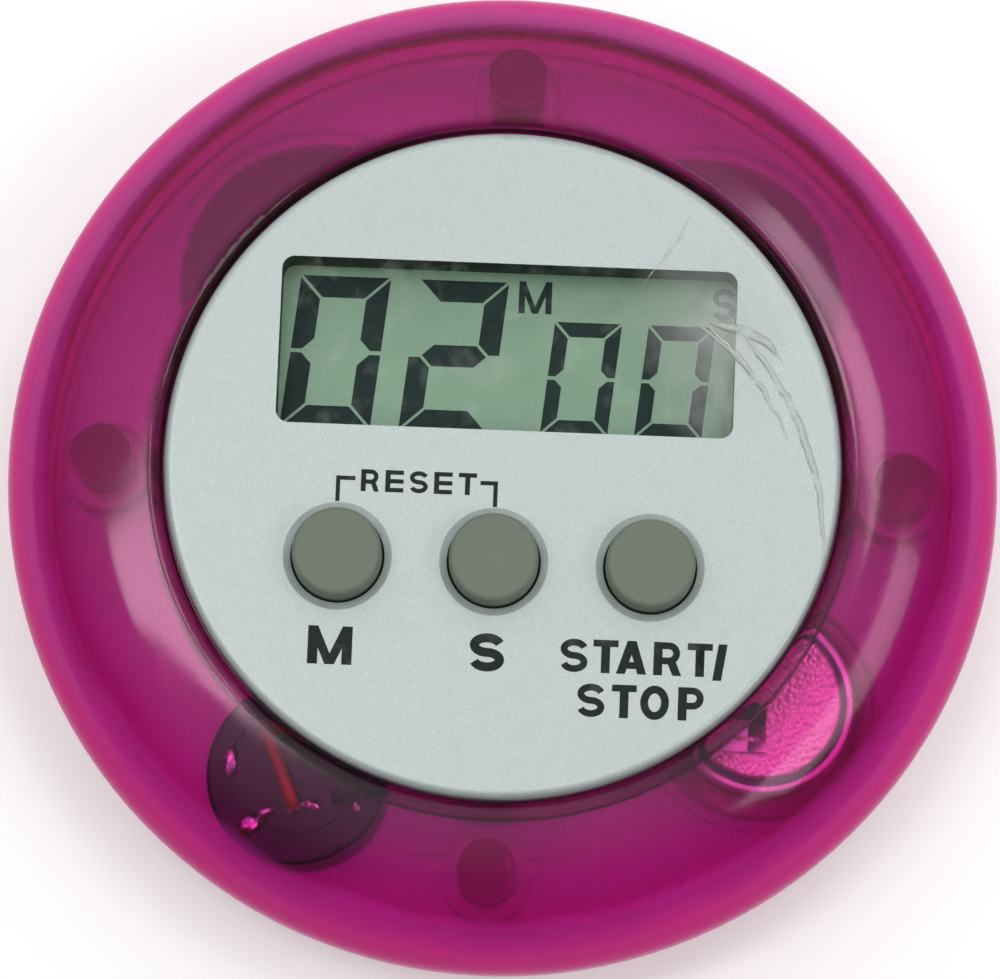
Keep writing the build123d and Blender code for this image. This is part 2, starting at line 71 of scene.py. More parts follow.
# ---------------------------------------------------------------- node material helpers
class Material:
    """A node material: a Principled shader, and short ways to give it grain, colour variation and bump."""

    def __init__(self, name, **inputs):
        self.material = bpy.data.materials.new(name)
        self.material.use_nodes = True
        self.tree = self.material.node_tree
        self.shader = self.tree.nodes["Principled BSDF"]
        self.output = self.tree.nodes["Material Output"]
        for key, value in inputs.items():
            self.shader.inputs[key.replace("_", " ")].default_value = value

    def node(self, kind, **settings):
        made = self.tree.nodes.new(kind)
        for key, value in settings.items():
            setattr(made, key, value)
        return made

    def link(self, source, target):
        self.tree.links.new(source, target)

    def place(self):
        """The point being shaded, in metres in the part's frame."""
        return self.node("ShaderNodeTexCoord").outputs["Object"]

    def noise(self, size, detail=3.0, stretch=(1, 1, 1), distortion=0.0):
        """Noise whose features are about size metres across, longer along an axis by its stretch."""
        mapping = self.node("ShaderNodeMapping")
        mapping.inputs["Scale"].default_value = [1 / (size * factor) for factor in stretch]
        self.link(self.place(), mapping.inputs["Vector"])
        texture = self.node("ShaderNodeTexNoise")
        texture.inputs["Scale"].default_value = 1.0
        texture.inputs["Detail"].default_value = detail
        texture.inputs["Distortion"].default_value = distortion
        self.link(mapping.outputs["Vector"], texture.inputs["Vector"])
        return texture.outputs["Fac"]

    def cells(self, size):
        """Distance from the nearest of many scattered points, about size metres apart."""
        mapping = self.node("ShaderNodeMapping")
        mapping.inputs["Scale"].default_value = [1 / size] * 3
        self.link(self.place(), mapping.inputs["Vector"])
        texture = self.node("ShaderNodeTexVoronoi")
        texture.inputs["Scale"].default_value = 1.0
        self.link(mapping.outputs["Vector"], texture.inputs["Vector"])
        return texture.outputs["Distance"]

    def spread(self, value, low, high, new_low=0.0, new_high=1.0):
        """Maps low..high to new_low..new_high, clamped."""
        made = self.node("ShaderNodeMapRange")
        limits = {"From Min": low, "From Max": high, "To Min": new_low, "To Max": new_high}
        for name, number in limits.items():
            made.inputs[name].default_value = number
        self.link(value, made.inputs["Value"])
        return made.outputs["Result"]

    def contrast(self, value, new_low=0.0, new_high=1.0):
        """Spreads the middle of a noise's range, where nearly all of it lies."""
        return self.spread(value, NOISE_LOW, NOISE_HIGH, new_low, new_high)

    def math(self, operation, first, second):
        made = self.node("ShaderNodeMath", operation=operation)
        for socket, value in zip(made.inputs, (first, second)):
            if isinstance(value, (int, float)):
                socket.default_value = value
            else:
                self.link(value, socket)
        return made.outputs[0]

    def axis(self, letter):
        split = self.node("ShaderNodeSeparateXYZ")
        self.link(self.place(), split.inputs[0])
        return split.outputs[letter]

    def radius(self, at=(0.0, 0.0)):
        """Distance from an upright axis through the given place."""
        flat = self.node("ShaderNodeVectorMath", operation="MULTIPLY_ADD")
        flat.inputs[1].default_value = (1, 1, 0)
        flat.inputs[2].default_value = (-at[0], -at[1], 0)
        self.link(self.place(), flat.inputs[0])
        length = self.node("ShaderNodeVectorMath", operation="LENGTH")
        self.link(flat.outputs[0], length.inputs[0])
        return length.outputs["Value"]

    def between(self, letter, low, high, soft=0.02 * MM):
        """1 where the coordinate lies between low and high, 0 elsewhere."""
        value = self.axis(letter)
        rising = self.spread(value, low - soft, low + soft)
        falling = self.spread(value, high - soft, high + soft, 1.0, 0.0)
        return self.math("MULTIPLY", rising, falling)

    def mix(self, factor, first, second):
        made = self.node("ShaderNodeMix", data_type="RGBA")
        self.link(factor, made.inputs["Factor"])
        for socket, value in ((made.inputs[6], first), (made.inputs[7], second)):
            if hasattr(value, "is_linked"):
                self.link(value, socket)
            else:
                socket.default_value = (*value, 1.0)
        return made.outputs[2]

    def colour(self, source):
        self.link(source, self.shader.inputs["Base Color"])
        return self

    def rough(self, value, low, high):
        self.link(self.contrast(value, low, high), self.shader.inputs["Roughness"])
        return self

    def shades(self, value, dark, light):
        """A base colour that runs from dark to light with a noise."""
        return self.colour(self.mix(self.contrast(value), dark, light))

    def bump(self, height, depth, strength=1.0):
        """Bump of the given depth in metres."""
        made = self.node("ShaderNodeBump")
        made.inputs["Strength"].default_value = strength
        made.inputs["Distance"].default_value = depth
        self.link(height, made.inputs["Height"])
        self.link(made.outputs["Normal"], self.shader.inputs["Normal"])
        return self


def dress(material, *node_names):
    """Gives CAD nodes a material."""
    for name in node_names:
        node = nodes[name]
        node.data.materials.clear()
        node.data.materials.append(material.material)


# ---------------------------------------------------------------- materials
DYE = (0.78, 0.04, 0.62, 1)
DYE_DENSITY = 180.0
MILK_START, MILK_END = case_radius - 3.2 * MM, case_radius - 0.9 * MM
DEEP_START = case_radius - 4.6 * MM
PLAIN_GLOSS, RIM_GLOSS = 0.5, 0.06


def dyed_plastic(name, tint, clear, roughness):
    """Clear polystyrene dyed magenta, deeper in colour where light goes a long way through it."""
    shell = Material(name, Base_Color=(*tint, 1), IOR=1.40)
    shell.shader.inputs["Transmission Weight"].default_value = clear
    absorption = shell.node("ShaderNodeVolumeAbsorption")
    absorption.inputs["Color"].default_value = DYE
    absorption.inputs["Density"].default_value = DYE_DENSITY
    shell.link(absorption.outputs["Volume"], shell.output.inputs["Volume"])
    shell.rough(shell.noise(6 * MM, detail=2.0), *roughness)
    shell.bump(shell.noise(2.2 * MM, detail=1.0), 0.003 * MM)
    return shell


def milky_rim(shell, place, inner_colour, rim_colour, clear, rim_clear):
    """Makes a shell milkier towards the case's thick outer rim."""
    rim = shell.spread(place, MILK_START, MILK_END)
    shell.link(shell.spread(rim, 0.0, 1.0, clear, rim_clear), shell.shader.inputs["Transmission Weight"])
    gloss = shell.spread(rim, 0.0, 1.0, PLAIN_GLOSS, RIM_GLOSS)
    shell.link(gloss, shell.shader.inputs["Specular IOR Level"])
    return shell.mix(rim, inner_colour, rim_colour)


def polished_magenta():
    """The bezel: clear on top, milky towards its rim, with painted shade in the wall beside the face."""
    clear_tint, deep_tint, milky_tint = (0.90, 0.32, 0.72), (0.95, 0.03, 0.62), (0.68, 0.03, 0.25)
    painted_shade_tint = (0.25, 0.03, 0.16)
    bezel = dyed_plastic("polished_magenta", clear_tint, 1.0, (0.08, 0.13))
    wobble = bezel.contrast(bezel.noise(7 * MM, detail=1.0), -0.2 * MM, 0.2 * MM)
    place = bezel.math("ADD", bezel.radius(), wobble)
    deepening = bezel.spread(place, DEEP_START, MILK_START)
    top_colour = bezel.mix(deepening, clear_tint, deep_tint)
    outer_colour = milky_rim(bezel, place, top_colour, milky_tint, 1.0, 0.0)
    # Painted shade: the colour runs to a dark tint in the wall just beside the face plate.
    painted_shade_beside_face = bezel.spread(place, plate_radius + 0.6 * MM, plate_radius + 1.4 * MM, 1.0, 0.0)
    bezel.colour(bezel.mix(painted_shade_beside_face, outer_colour, painted_shade_tint))
    return bezel


def satin_magenta():
    """The back half of the case, the stand and the door."""
    tint, rim_tint = (0.96, 0.02, 0.74), (0.90, 0.03, 0.42)
    back = dyed_plastic("satin_magenta", tint, 0.72, (0.20, 0.35))
    back.colour(milky_rim(back, back.radius(), tint, rim_tint, 0.72, 0.66))
    return back


def silver_paint():
    """The face plate: fine metal flakes in a faintly mottled paint."""
    paint = Material("silver_paint", Roughness=0.4)
    paint.shader.inputs["Specular IOR Level"].default_value = 0.3
    flakes = paint.cells(0.09 * MM)
    mottle = paint.noise(1.6 * MM, detail=6.0)
    tone = paint.mix(paint.contrast(mottle), (0.44, 0.51, 0.51), (0.495, 0.565, 0.56))
    sparkle = paint.spread(flakes, 0.15, 0.75)
    flaked = paint.mix(paint.math("MULTIPLY", sparkle, 0.4), tone, (0.74, 0.79, 0.79))
    paint.rough(mottle, 0.36, 0.46)
    # The window's own walls are painted black and not metallic, as painted shade.
    in_x = paint.between("X", display_low.x, display_high.x)
    in_y = paint.between("Y", display_low.y, display_high.y)
    below = paint.between("Z", 0.0, face_z - 0.05 * MM)
    painted_shade_wall = paint.math("MULTIPLY", paint.math("MULTIPLY", in_x, in_y), below)
    paint.colour(paint.mix(painted_shade_wall, flaked, (0.01, 0.01, 0.01)))
    paint.link(paint.spread(painted_shade_wall, 0.0, 1.0, 0.35, 0.0), paint.shader.inputs["Metallic"])
    paint.bump(flakes, 0.006 * MM, 0.5)
    return paint


def display_green():
    """The display's film: grey-green, a little mottled, with a satin gloss."""
    film = Material("display_green", Roughness=0.28)
    mottle = film.noise(3.5 * MM, detail=4.0)
    film.shades(mottle, (0.218, 0.375, 0.255), (0.248, 0.405, 0.275))
    film.rough(mottle, 0.22, 0.34)
    return film


def display_ink():
    """The display's dark segments."""
    ink = Material("display_ink", Roughness=0.5)
    ink.shader.inputs["Specular IOR Level"].default_value = 0.2
    mottle = ink.noise(1.2 * MM, detail=3.0)
    ink.shades(mottle, (0.006, 0.022, 0.019), (0.012, 0.034, 0.030))
    return ink


def key_plastic():
    """The keys' matt khaki-grey plastic."""
    plastic = Material("key_plastic", Roughness=0.55)
    mottle = plastic.noise(1.8 * MM, detail=4.0)
    plastic.shades(mottle, (0.158, 0.188, 0.147), (0.188, 0.212, 0.166))
    plastic.rough(mottle, 0.48, 0.62)
    plastic.bump(plastic.noise(0.12 * MM, detail=2.0), 0.006 * MM)
    return plastic


def legend_ink():
    """The black print on the face."""
    ink = Material("legend_ink", Roughness=0.5)
    ink.shader.inputs["Specular IOR Level"].default_value = 0.25
    mottle = ink.noise(0.35 * MM, detail=4.0)
    ink.colour(ink.mix(ink.spread(mottle, 0.35, 0.7), (0.005, 0.009, 0.010), (0.009, 0.015, 0.017)))
    return ink


def moulded(name, dark, light, roughness=(0.4, 0.55), grain=0.2 * MM, depth=0.006 * MM):
    """Plain moulded plastic, rubber, resin or ceramic in two close shades."""
    plastic = Material(name)
    mottle = plastic.noise(grain * 8, detail=4.0)
    plastic.shades(mottle, dark, light)
    plastic.rough(mottle, *roughness)
    plastic.bump(plastic.noise(grain, detail=2.0), depth)
    return plastic


def metal(name, dark, light, roughness=(0.2, 0.38), stretch=(1, 1, 1), grain=0.4 * MM, depth=0.004 * MM):
    """Bare or plated metal with a drawn or rolled grain."""
    plate = Material(name, Metallic=1.0)
    streaks = plate.noise(grain, detail=5.0, stretch=stretch)
    plate.shades(streaks, dark, light)
    plate.rough(streaks, *roughness)
    plate.bump(streaks, depth)
    return plate


def cell_cap_steel():
    """The cell's cap, rolled with a fine cross-hatch that sparkles."""
    steel = Material("cell_cap_steel", Metallic=1.0)
    facets = steel.cells(0.30 * MM)
    tone = steel.spread(facets, 0.1, 0.7)
    steel.colour(steel.mix(tone, (0.78, 0.72, 0.58), (0.98, 0.92, 0.78)))
    steel.rough(facets, 0.28, 0.45)
    steel.bump(facets, 0.05 * MM)
    return steel


def circuit_board_material():
    """Brown phenolic board with a paper grain."""
    board = Material("circuit_board", Roughness=0.45)
    fibres = board.noise(0.5 * MM, detail=5.0, stretch=(4, 1, 1))
    board.shades(fibres, (0.20, 0.12, 0.035), (0.30, 0.19, 0.06))
    board.bump(fibres, 0.01 * MM)
    return board


def film_clear():
    """Clear film: nearly invisible where it lies flat, with a painted reflection, whiter and less clear,
    where it has lifted at the right.
    """
    film = Material("film_clear", Base_Color=(0.90, 0.93, 0.91, 1), Roughness=0.12)
    film.shader.inputs["Specular IOR Level"].default_value = 0.25
    grime = film.spread(film.noise(1.6 * MM, detail=5.0), 0.55, 0.8, 0.0, 0.05)
    # The painted reflection's veil, its lifted patch and that patch's edge each fade out from a place at the
    # display's right-hand end.
    glare_veil = film.spread(film.radius((12.5 * MM, 9.8 * MM)), 1.5 * MM, 5.5 * MM, 0.11, 0.0)
    lifted_glare = film.spread(film.radius((14.2 * MM, 8.4 * MM)), 0.6 * MM, 3.4 * MM, 1.0, 0.0)
    edge = film.spread(film.radius((13.2 * MM, 5.2 * MM)), 1.0 * MM, 4.2 * MM, 0.6, 0.0)
    streaks = film.noise(1.1 * MM, detail=4.0, stretch=(1, 3, 1), distortion=0.6)
    streaks = film.spread(streaks, 0.3, 0.65, 0.35, 1.0)
    glare_patch = film.math("MULTIPLY", film.math("MAXIMUM", lifted_glare, edge), streaks)
    grime_and_glare = film.math("ADD", grime, glare_veil)
    # A faint grime haze, plus the painted reflection in white.
    alpha = film.math("ADD", grime_and_glare, film.math("MULTIPLY", glare_patch, 0.22))
    film.link(alpha, film.shader.inputs["Alpha"])
    return film


def film_crease_highlight():
    """The ridges where the film has been bent, whitened with painted highlight."""
    crease = Material("film_crease_highlight", Base_Color=(0.86, 0.88, 0.86, 1), Roughness=0.3)
    breaks = crease.noise(1.3 * MM, detail=3.0)
    # Painted highlight: white, more opaque in broken streaks along each ridge.
    crease.link(crease.spread(breaks, 0.35, 0.66, 0.03, 0.5), crease.shader.inputs["Alpha"])
    return crease


domes = [f"dome_{name}" for name in key_names]
pills = [f"pill_{name}" for name in key_names]
glass = moulded("board_glass", (0.22, 0.32, 0.25), (0.30, 0.40, 0.32), (0.05, 0.1))
elastomer = moulded("elastomer", (0.30, 0.12, 0.14), (0.60, 0.42, 0.44), grain=0.05 * MM)
ceramic = moulded("capacitor", (0.35, 0.22, 0.11), (0.50, 0.34, 0.20), (0.35, 0.5))
resistor = moulded("resistor", (0.01, 0.01, 0.01), (0.04, 0.04, 0.04), (0.35, 0.5))
rubber = moulded("keypad_rubber", (0.52, 0.52, 0.50), (0.66, 0.66, 0.63), (0.55, 0.7))
carbon = moulded("carbon", (0.01, 0.01, 0.01), (0.03, 0.03, 0.03), (0.7, 0.9))
ferrite = moulded("ferrite", (0.014, 0.013, 0.014), (0.032, 0.030, 0.032), (0.5, 0.75), grain=0.15 * MM)
cell_steel = metal("cell_steel", (0.80, 0.76, 0.70), (0.96, 0.92, 0.86), (0.25, 0.45), depth=0.02 * MM)
contact_strip = metal("contact_strip", (0.55, 0.53, 0.50), (0.75, 0.72, 0.68), stretch=(6, 1, 1))
buzzer_black = moulded("buzzer_black", (0.008, 0.008, 0.009), (0.02, 0.02, 0.022), (0.25, 0.4))
red_vinyl = moulded("red_vinyl", (0.42, 0.006, 0.008), (0.60, 0.015, 0.015), (0.3, 0.45))
black_vinyl = moulded("black_vinyl", (0.01, 0.01, 0.01), (0.025, 0.025, 0.025), (0.3, 0.45))

dress(polished_magenta(), "front_bezel")
dress(satin_magenta(), "rear_cover", "stand", "battery_door")
dress(silver_paint(), "face_plate")
dress(display_green(), "front_polarizer")
dress(key_plastic(), *[f"key_{name}" for name in key_names])
dress(moulded("display_black", (0.006, 0.006, 0.006), (0.014, 0.014, 0.014)), "lcd_frame")
dress(glass, "front_glass", "rear_glass")
dress(metal("reflector", (0.55, 0.62, 0.56), (0.66, 0.72, 0.66)), "rear_reflector")
dress(elastomer, "zebra_strip")
dress(circuit_board_material(), "circuit_board")
dress(metal("screw_steel", (0.45, 0.45, 0.43), (0.65, 0.65, 0.62)), "board_screws")
dress(moulded("resin", (0.008, 0.008, 0.008), (0.02, 0.02, 0.02), (0.2, 0.35)), "chip_blob")
dress(metal("crystal_can", (0.60, 0.60, 0.60), (0.78, 0.78, 0.78), (0.15, 0.25)), "quartz_crystal")
dress(ceramic, "chip_capacitors")
dress(resistor, "chip_resistors")
dress(rubber, "keypad_web", *domes)
dress(carbon, *pills)
dress(ferrite, "magnet_left", "magnet_right")
dress(cell_steel, "cell_can")
dress(cell_cap_steel(), "cell_cap")
dress(moulded("cell_seal", (0.10, 0.10, 0.14), (0.18, 0.18, 0.22)), "cell_gasket")
dress(contact_strip, "negative_contact", "positive_contact")
dress(buzzer_black, "buzzer_case", "buzzer_cap")
dress(metal("brass", (0.60, 0.42, 0.15), (0.80, 0.60, 0.28)), "buzzer_diaphragm")
dress(moulded("piezo_ceramic", (0.60, 0.60, 0.56), (0.75, 0.75, 0.70)), "buzzer_ceramic")
dress(red_vinyl, "buzzer_wire_red")
dress(black_vinyl, "buzzer_wire_black")


# ---------------------------------------------------------------- mesh helpers
def add_piece(name, mesh, material, slot, *replaced):
    """A new piece on the case, in one material, standing for any CAD nodes it replaces."""
    piece = bpy.data.objects.new(name, mesh)
    bpy.context.scene.collection.objects.link(piece)
    mesh.materials.clear()
    mesh.materials.append(material.material)
    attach(piece, CASE)
    if replaced:
        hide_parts(*replaced)


def finished(name, build, smooth=False):
    """The mesh of a bmesh, which is then freed."""
    for face in build.faces:
        face.smooth = smooth
    mesh = bpy.data.meshes.new(name)
    build.to_mesh(mesh)
    build.free()
    return mesh


def prisms(name, outlines, low_z, high_z):
    """One mesh of upright prisms, from outlines of (x, y) points listed anticlockwise."""
    build = bmesh.new()
    for outline in outlines:
        bottom = [build.verts.new((x, y, low_z)) for x, y in outline]
        top = [build.verts.new((x, y, high_z)) for x, y in outline]
        build.faces.new(list(reversed(bottom)))
        build.faces.new(top)
        for step in range(len(outline)):
            after = (step + 1) % len(outline)
            build.faces.new((bottom[step], bottom[after], top[after], top[step]))
    bmesh.ops.recalc_face_normals(build, faces=build.faces)
    return finished(name, build)


# ---------------------------------------------------------------- the display's digits
def segment_outlines(width, height, stroke, gap):
    """The seven bars of a digit with its lower left corner at the origin, upright."""
    half, centre = stroke / 2, height / 2
    tip, shoulder = half + gap, stroke + gap
    top = [
        (gap, height),
        (shoulder, height - stroke),
        (width - shoulder, height - stroke),
        (width - gap, height),
    ]
    upper_left = [
        (0, height - gap),
        (0, centre + gap),
        (half, centre + gap),
        (stroke, centre + tip),
        (stroke, height - shoulder),
    ]
    middle_bar = [
        (tip, centre),
        (shoulder, centre - half),
        (width - shoulder, centre - half),
        (width - tip, centre),
        (width - shoulder, centre + half),
        (shoulder, centre + half),
    ]

    def across(points):
        return [(width - x, y) for x, y in reversed(points)]

    def down(points):
        return [(x, height - y) for x, y in reversed(points)]

    return {
        "top": top,
        "upper_left": upper_left,
        "upper_right": across(upper_left),
        "middle": middle_bar,
        "lower_left": down(upper_left),
        "lower_right": across(down(upper_left)),
        "bottom": down(top),
    }


LIT = {
    "0": ("top", "upper_left", "upper_right", "lower_left", "lower_right", "bottom"),
    "2": ("top", "upper_right", "middle", "lower_left", "bottom"),
}


def digit(character, left, bottom, width, height, stroke, gap, slant):
    """The outlines of a leaning digit's lit bars, in metres, from lengths in mm."""
    shapes = segment_outlines(width, height, stroke, gap)
    lean = math.tan(slant)
    outlines = []
    for bar in LIT[character]:
        outlines.append([((left + x + y * lean) * MM, (bottom + y) * MM) for x, y in shapes[bar]])
    return outlines


SHARPEST_MITRE = 0.3


def ribbon(points, width, closed=False):
    """The two edges of a line of the given width, as (left, right) points, with mitred corners.

    A mitre never reaches out further than 1 / SHARPEST_MITRE times the half width.
    """
    edges = []
    count = len(points)
    for step, point in enumerate(points):
        before = points[step - 1] if closed or step else None
        after = points[(step + 1) % count] if closed or step + 1 < count else None
        ahead = (Vector(after) - Vector(point)).normalized() if after else None
        behind = (Vector(point) - Vector(before)).normalized() if before else None
        heading = ((ahead or behind) + (behind or ahead)).normalized()
        side = Vector((-heading.y, heading.x))
        turn = side.dot(Vector((-(ahead or behind).y, (ahead or behind).x)))
        reach = side * (width / 2 / max(turn, SHARPEST_MITRE))
        edges.append((Vector(point) + reach, Vector(point) - reach))
    return edges


def arc(centre, radii, start, end, steps=20):
    """Points along part of an ellipse, angles in degrees."""
    turns = [math.radians(start + (end - start) * step / steps) for step in range(steps + 1)]
    return [(centre[0] + radii[0] * math.cos(turn), centre[1] + radii[1] * math.sin(turn)) for turn in turns]


def slanted(bottom_x, top_x, width, low=0.0, high=1.0):
    """A leaning stroke with level ends, as a ribbon."""
    half = width / 2
    return [
        (Vector((bottom_x - half, low)), Vector((bottom_x + half, low))),
        (Vector((top_x - half, high)), Vector((top_x + half, high))),
    ]


def bowl(width, height, stem, bar):
    """The round upper half that P and R share."""
    half, low = bar / 2, height * 0.44
    radius = (height - half - low) / 2
    right = arc((width - stem / 2 - radius, low + radius), (radius, radius), -90, 90, 12)
    return ribbon([(stem / 2, low), *right, (stem / 2, height - half)], bar)


def glyph(letter, width, height, stem, bar):
    """The strokes of a plain block letter, as ribbons with its lower left corner at the origin."""
    half_stem, half_bar = stem / 2, bar / 2
    centre_x, centre_y, top_y = width / 2, height / 2, height - half_bar
    left = ribbon([(half_stem, 0), (half_stem, height)], stem)
    right = ribbon([(width - half_stem, 0), (width - half_stem, height)], stem)
    if letter == "S":
        radii = ((width - bar) / 2, (height - bar) / 4)
        upper = arc((centre_x, centre_y + radii[1]), radii, 15, 270)
        lower = arc((centre_x, centre_y - radii[1]), radii, 90, -165)
        return [ribbon(upper + lower[1:], bar)]
    if letter == "O":
        radii = ((width - stem) / 2, (height - bar) / 2)
        return [ribbon(arc((centre_x, centre_y), radii, 0, 351, 39), (stem + bar) / 2, closed=True)]
    if letter == "T":
        return [
            ribbon([(centre_x, 0), (centre_x, height - bar)], stem),
            ribbon([(0, top_y), (width, top_y)], bar),
        ]
    if letter == "E":
        levels = [ribbon([(half_stem, y), (width, y)], bar) for y in (half_bar, centre_y, top_y)]
        return [left, *levels]
    if letter == "P":
        return [left, bowl(width, height, stem, bar)]
    if letter == "R":
        leg = slanted(width - half_stem, width - stem * 1.25, stem, 0, height * 0.46)
        return [left, bowl(width * 0.97, height, stem, bar), leg]
    if letter == "A":
        legs = [slanted(x, centre_x, stem, 0, height) for x in (half_stem, width - half_stem)]
        cross_y = height * 0.26
        return [*legs, ribbon([(width * 0.25, cross_y), (width * 0.75, cross_y)], bar)]
    if letter == "M":
        valley = stem * 0.95
        arms = [slanted(centre_x, x, valley, 0, height) for x in (half_stem, width - half_stem)]
        return [left, right, *arms]
    return [slanted(half_stem, width - half_stem, stem, -height * 0.1, height)]


def ring_shaped(letter):
    """Whether a letter's one stroke closes on itself."""
    return letter == "O"


TOP_STEPS, TOP_STEP = 5, 0.0015 * MM


def stroke_mesh(name, strokes, low_z, high_z):
    """One mesh from flat (ribbon, closed) strokes, each a solid band of the given thickness.

    Strokes that cross end at slightly different heights, so that no two tops share a plane.
    """
    build = bmesh.new()
    for order, (edges, closed) in enumerate(strokes):
        top_z = high_z + order % TOP_STEPS * TOP_STEP
        rings = []
        for left, right in edges:
            corners = ((*left, low_z), (*right, low_z), (*right, top_z), (*left, top_z))
            rings.append([build.verts.new(corner) for corner in corners])
        following = rings[1:] + rings[:1] if closed else rings[1:]
        for first, second in zip(rings, following):
            for corner in range(4):
                after = (corner + 1) % 4
                build.faces.new((first[corner], first[after], second[after], second[corner]))
        if not closed:
            build.faces.new(list(reversed(rings[0])))
            build.faces.new(rings[-1])
    bmesh.ops.recalc_face_normals(build, faces=build.faces)
    return finished(name, build)


def word_mesh(name, letters, low_y, height, stem, bar, low_z, thickness):
    """Block lettering; letters lists (letter, low x, high x).

    low_z and thickness are in metres, and all other lengths in mm.
    """
    strokes = []
    for letter, low_x, high_x in letters:
        corner = Vector((low_x, low_y))
        for edges in glyph(letter, high_x - low_x, height, stem, bar):
            moved = [((corner + left) * MM, (corner + right) * MM) for left, right in edges]
            strokes.append((moved, ring_shaped(letter)))
    return stroke_mesh(name, strokes, low_z, low_z + thickness)


DIGIT_SLANT = math.radians(5.6)
INK_GAP, INK_THICKNESS = 0.005 * MM, 0.02 * MM
# Bottom, width, height, stroke and gap of the large and the small digits, in mm.
LARGE_DIGIT = (2.3, 5.6, 9.6, 1.36, 0.13)
SMALL_DIGIT = (2.4, 4.17, 7.13, 0.92, 0.12)
# Each digit, its left side in mm, and its size.
DIGITS = (
    ("0", -13.95, LARGE_DIGIT),
    ("2", -6.58, LARGE_DIGIT),
    ("0", 2.22, SMALL_DIGIT),
    ("0", 8.06, SMALL_DIGIT),
)
# The bottom, height, stem and bar of the unit letters, in mm.
UNIT_LETTER = (10.0, 2.03, 0.38, 0.36)


def add_display_digits():
    """The digits and their unit letters, in the thin gap on top of the display's film."""
    ink = display_ink()
    low_z = display_high.z + INK_GAP
    outlines = []
    for character, left, size in DIGITS:
        outlines += digit(character, left, *size, DIGIT_SLANT)
    mesh = prisms("display_digits", outlines, low_z, low_z + INK_THICKNESS)
    add_piece("display_digits", mesh, ink, "display_black")
    units = {"display_unit_minutes": ("M", 0.6, 2.65), "display_unit_seconds": ("S", 12.68, 14.1)}
    for name, letter in units.items():
        mesh = word_mesh(name, [letter], *UNIT_LETTER, low_z, INK_THICKNESS)
        add_piece(name, mesh, ink, "display_black")


# ---------------------------------------------------------------- printing on the face
PRINT_GAP, PRINT_THICKNESS = 0.002 * MM, 0.012 * MM
# Each letter with its low and high x, in mm.
RESET = [(letter, -8.65 + 1.5 * step, -7.53 + 1.5 * step) for step, letter in enumerate("RESET")]
START = [
    ("S", 4.0, 5.67),
    ("T", 6.0, 7.53),
    ("A", 7.43, 9.28),
    ("R", 9.7, 11.42),
    ("T", 11.77, 13.3),
    ("/", 13.32, 14.2),
]
STOP = [("S", 5.13, 6.8), ("T", 7.23, 8.74), ("O", 8.95, 10.76), ("P", 11.28, 12.9)]
# The letters, and their bottom, height, stem and bar, in mm.
LEGENDS = {
    "legend_minutes": ([("M", -11.47, -8.75)], -12.95, 2.36, 0.62, 0.5),
    "legend_seconds": ([("S", -1.56, 0.57)], -13.03, 2.36, 0.58, 0.56),
    "legend_start": (START, -12.85, 2.05, 0.54, 0.42),
    "legend_stop": (STOP, -15.58, 2.05, 0.54, 0.42),
    "legend_reset": (RESET, -2.14, 1.37, 0.31, 0.27),
}


def add_brackets(ink, low_z):
    """The lines that join the RESET legend to the minutes key and the seconds key."""
    half, corner_y = 0.13, -1.35
    foot_y = key_places["minutes"].y / MM + 3.4
    left_x, right_x = -10.05, -0.36
    word_left_x, word_right_x = -9.0, -1.3
    bars = (
        (left_x - half, left_x + half, foot_y, corner_y + half),
        (left_x + half, word_left_x, corner_y - half, corner_y + half),
        (right_x - half, right_x + half, foot_y, corner_y + half),
        (word_right_x, right_x - half, corner_y - half, corner_y + half),
    )
    outlines = []
    for low_x, high_x, low_y, high_y in bars:
        corners = ((low_x, low_y), (high_x, low_y), (high_x, high_y), (low_x, high_y))
        outlines.append([(x * MM, y * MM) for x, y in corners])
    mesh = prisms("legend_brackets", outlines, low_z, low_z + PRINT_THICKNESS)
    add_piece("legend_brackets", mesh, ink, "display_black")


def add_legends():
    """The words and brackets printed on the face."""
    ink = legend_ink()
    low_z = face_z + PRINT_GAP
    for name, (letters, *sizes) in LEGENDS.items():
        add_piece(name, word_mesh(name, letters, *sizes, low_z, PRINT_THICKNESS), ink, "display_black")
    add_brackets(ink, low_z)


add_display_digits()
add_legends()


# ---------------------------------------------------------------- solder on the buzzer
SOLDER_SEED = 11
SOLDER_UNEVENNESS, SOLDER_WAVES = 0.22, 1.4
SOLDER_UNDERSIDE = -0.1    # how far a dome reaches below its foot, as a share of its height
# The x, y, length, width, height and turn in degrees of each blob, lengths in mm.
SOLDER_BLOBS = (
    (-16.0, -18.5, 2.0, 0.9, 0.45, 82),
    (-14.65, -22.3, 1.5, 1.2, 0.5, 35),
    (-13.7, -21.5, 1.2, 0.7, 0.4, 30),
    (-10.9, -21.0, 1.3, 0.8, 0.45, -10),
    (-8.2, -21.0, 0.6, 1.0, 0.4, 10),
    (-12.0, -21.1, 1.3, 1.1, 0.5, 60),
)


def blob_mesh(name, blobs, foot_z):
    """Small uneven domes of solder, all standing at one height in mm."""
    draw = random.Random(SOLDER_SEED)
    build = bmesh.new()
    for x, y, length, width, height, turn in blobs:
        made = bmesh.ops.create_icosphere(build, subdivisions=3, radius=1.0)["verts"]
        cosine, sine = math.cos(math.radians(turn)), math.sin(math.radians(turn))
        shift = Vector((draw.uniform(0, 9), draw.uniform(0, 9), draw.uniform(0, 9)))
        for vertex in made:
            swell = 1.0 + SOLDER_UNEVENNESS * noise.noise(vertex.co * SOLDER_WAVES + shift)
            along, across = vertex.co.x * length / 2 * swell, vertex.co.y * width / 2 * swell
            vertex.co = Vector((
                (x + along * cosine - across * sine) * MM,
                (y + along * sine + across * cosine) * MM,
                (foot_z + max(vertex.co.z, SOLDER_UNDERSIDE) * height * swell) * MM,
            ))
    return finished(name, build, smooth=True)


